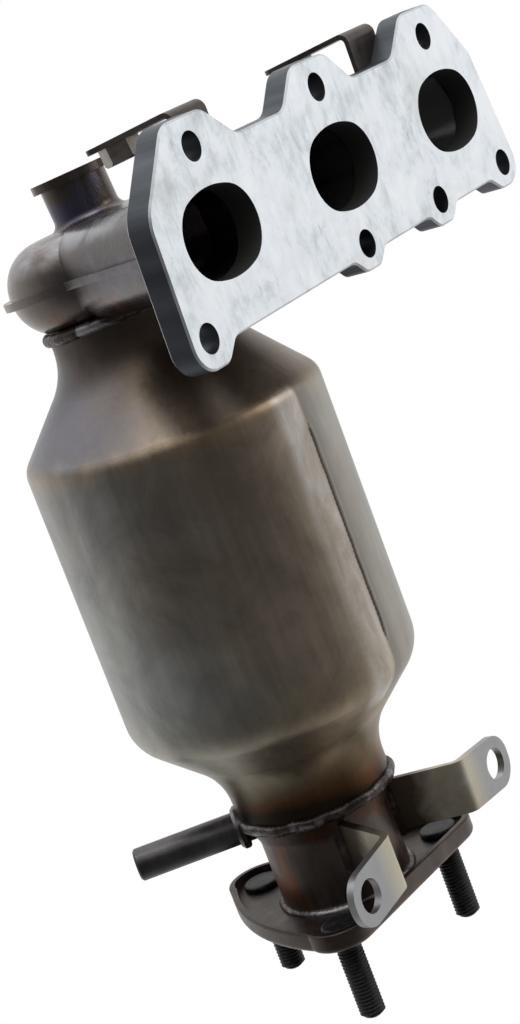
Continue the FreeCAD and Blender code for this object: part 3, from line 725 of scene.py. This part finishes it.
def can_seam_path():
    """The canister's seam from foot to top. It sinks deeper into the shell near both ends."""
    steps = 180
    depth = 0.0005
    end_depth = 0.0006
    end_share = 0.9         # the last tenth of each half sinks
    path = []
    for step in range(steps + 1):
        share = step / steps
        height = can_seam_low.z + (can_seam_high.z - can_seam_low.z) * share
        sunk = depth + end_depth * max(0.0, abs(2 * share - 1) - end_share) / (1 - end_share)
        path.append((can_seam_foot - can_seam_out * sunk + Vector((0, 0, height)), can_seam_out))
    return path


bead = 0.0024
small_bead = 0.0019
seam_bead = 0.0011
overlay = 1.06              # a bead this much larger than the plain one that it replaces
upward = Vector((0, 0, 1))

inlet = circle_path(centre_of("inlet_weld"), across_of("inlet_weld") - bead, seam_normal, -0.6)
weld_bead("inlet_weld_bead", inlet, bead * overlay, ["inlet_weld"], 3.0)

outlet = circle_path(centre_of("outlet_weld"), across_of("outlet_weld") - small_bead, upward, -0.3)
weld_bead("outlet_weld_bead", outlet, small_bead * overlay, ["outlet_weld"], 5.0, stretch=1.3, lumps=0.28)

foot = centre_of("outlet_flange_weld")
foot.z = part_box("outlet_flange_weld")[0].z
foot_ring = circle_path(foot, across_of("outlet_flange_weld") - small_bead, upward, 0.6)
weld_bead("outlet_flange_weld_bead", foot_ring, small_bead, ["outlet_flange_weld"], 11.0)

weld_bead("canister_seam_bead", can_seam_path(), seam_bead, [], 21.0,
          closed=False, stretch=1.6, kind="canister")


# ---------------------------------------------------------------- studs

thread_pitch = 0.0015
thread_depth = 0.0007
thread_base = 0.86          # width of a groove at its mouth, as a share of the pitch
thread_steps = 10           # rows of points for one pitch
stud_sides = 40
point_inset = 0.0022        # the point's flat end lies this far inside the stud's radius
point_rise = 0.0006
shoulder_inset = 0.0013
thread_start = 0.0014       # above the point
thread_shortfall = 0.0022   # the thread is shorter than the stud's bare length by this
plain_end = 0.0004          # bare stud under the plate
neck_radius = 0.0054
neck_height = 0.004
head_radius = 0.0076
head_edge = [(0.0008, 0.0), (0.0002, 0.0004), (0.0, 0.0012)]    # drops and insets of its rounded edge
thread_runout = (0.003, 0.002)      # the groove ends this far below the plate, over this length
thread_runin = 0.001


def stud_profile(low, high):
    """Rows of (height, radius, whether the thread is cut there), from the point to the head."""
    head = plate_foot + neck_height
    rows = [(low, 0.0, False), (low, stud_radius - point_inset, False)]
    rows.append((low + point_rise, stud_radius - shoulder_inset, False))
    steps = int((plate_foot - low - thread_shortfall) / (thread_pitch / thread_steps))
    for step in range(steps + 1):
        rows.append((low + thread_start + step * thread_pitch / thread_steps, stud_radius, True))
    rows += [(plate_foot - plain_end, stud_radius, False), (plate_foot, stud_radius, False)]
    rows += [(plate_foot, neck_radius, False), (head, neck_radius, False), (head, head_radius, False)]
    rows += [(high - drop, head_radius - inset, False) for drop, inset in head_edge]
    rows.append((high, 0.0, False))
    return rows


def groove(height, low, share_round):
    """Depth of the thread's groove, which fades at the point and under the plate."""
    share = (height / thread_pitch - share_round) % 1.0
    tooth = max(0.0, 1.0 - abs(share - 0.5) * 2 / thread_base)
    end, length = thread_runout
    fade = min(1.0, (plate_foot - end - height) / length, (height - low) / thread_runin)
    return thread_depth * tooth * max(0.0, fade)


def threaded_stud(name, node):
    """A pressed-in stud with a rolled M10 thread and a rounded point."""
    centre = centre_of(node)
    low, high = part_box(node)
    rows = stud_profile(low.z, high.z)
    points = []
    for height, radius, cut in rows:
        for step in range(stud_sides):
            turn = 2 * math.pi * step / stud_sides
            reach = radius
            if cut:
                reach -= groove(height, low.z, step / stud_sides)
            across = Vector((math.cos(turn), math.sin(turn), 0.0)) * reach
            points.append(Vector((centre.x, centre.y, height)) + across)
    add_piece(name, points, grid_faces(len(rows), stud_sides), "stud", [node])


for index in (1, 2, 3):
    threaded_stud("threaded_stud_%d" % index, "outlet_stud_%d" % index)


# ---------------------------------------------------------------- light and camera

white = (1.0, 1.0, 1.0, 1.0)
panel_way = Vector((0.79, -0.60, -0.15)).normalized()
panel_glow = 0.34
roof_glow = 1.1

# the room's grey, from what lies past the part to what lies behind the camera
room_greys = [(0.0, 0.95), (0.34, 0.60), (0.48, 0.44), (0.60, 0.27), (0.75, 0.15), (1.0, 0.12)]


def make_world():
    """A white studio that is dark toward the camera, with soft panels to the right and above."""
    world = bpy.data.worlds.new("studio")
    bpy.context.scene.world = world
    net = SkyNet(world)
    way = net.put("TexCoord").outputs["Generated"]
    toward = net.span(net.dot(way, back), -1.0, 1.0)
    room = net.ramp(toward, [(place, (tone, tone, tone)) for place, tone in room_greys])
    panel = net.span(net.dot(way, panel_way), 0.72, 0.93, 0.0, panel_glow)
    roof = net.span(net.split(way)[2], 0.45, 0.85, 0.0, roof_glow)
    level = net.mix(1.0, room, net.joined(net.plus(panel, roof)), "ADD")
    soft = net.put("Background", {"Color": level, "Strength": 1.0})
    plain = net.put("Background", {"Color": white, "Strength": 1.0})
    seen = net.put("LightPath").outputs["Is Camera Ray"]
    blend = net.put("MixShader", {0: seen, 1: soft.outputs[0], 2: plain.outputs[0]})
    net.tree.links.new(blend.outputs[0], net.output.inputs[0])


def soft_light(name, place, size, power):
    """A square area light that points at the middle of the part."""
    aim = (cad_low + cad_high) / 2
    data = bpy.data.lights.new(name, "AREA")
    data.shape = "RECTANGLE"
    data.size = size
    data.size_y = size
    data.energy = power
    lamp = bpy.data.objects.new(name, data)
    lamp.location = place
    lamp.rotation_mode = "QUATERNION"
    lamp.rotation_quaternion = (aim - Vector(place)).to_track_quat("-Z", "Y")
    bpy.context.scene.collection.objects.link(lamp)


def set_camera():
    data = bpy.data.cameras.new("camera")
    data.sensor_width = 36.0
    data.lens = 82.42
    data.clip_start = 0.01
    data.clip_end = 20.0
    camera = bpy.data.objects.new("camera", data)
    turn = Matrix((right, up, back)).transposed().to_4x4()
    camera.matrix_world = Matrix.Translation(eye) @ turn
    bpy.context.scene.collection.objects.link(camera)
    bpy.context.scene.camera = camera


make_world()
soft_light("key", place=(0.65, -1.2, 0.55), size=0.7, power=3.0)
soft_light("top", place=(-0.2, -0.1, 1.3), size=0.6, power=4.0)
set_camera()
bpy.context.scene.view_settings.view_transform = "Standard"
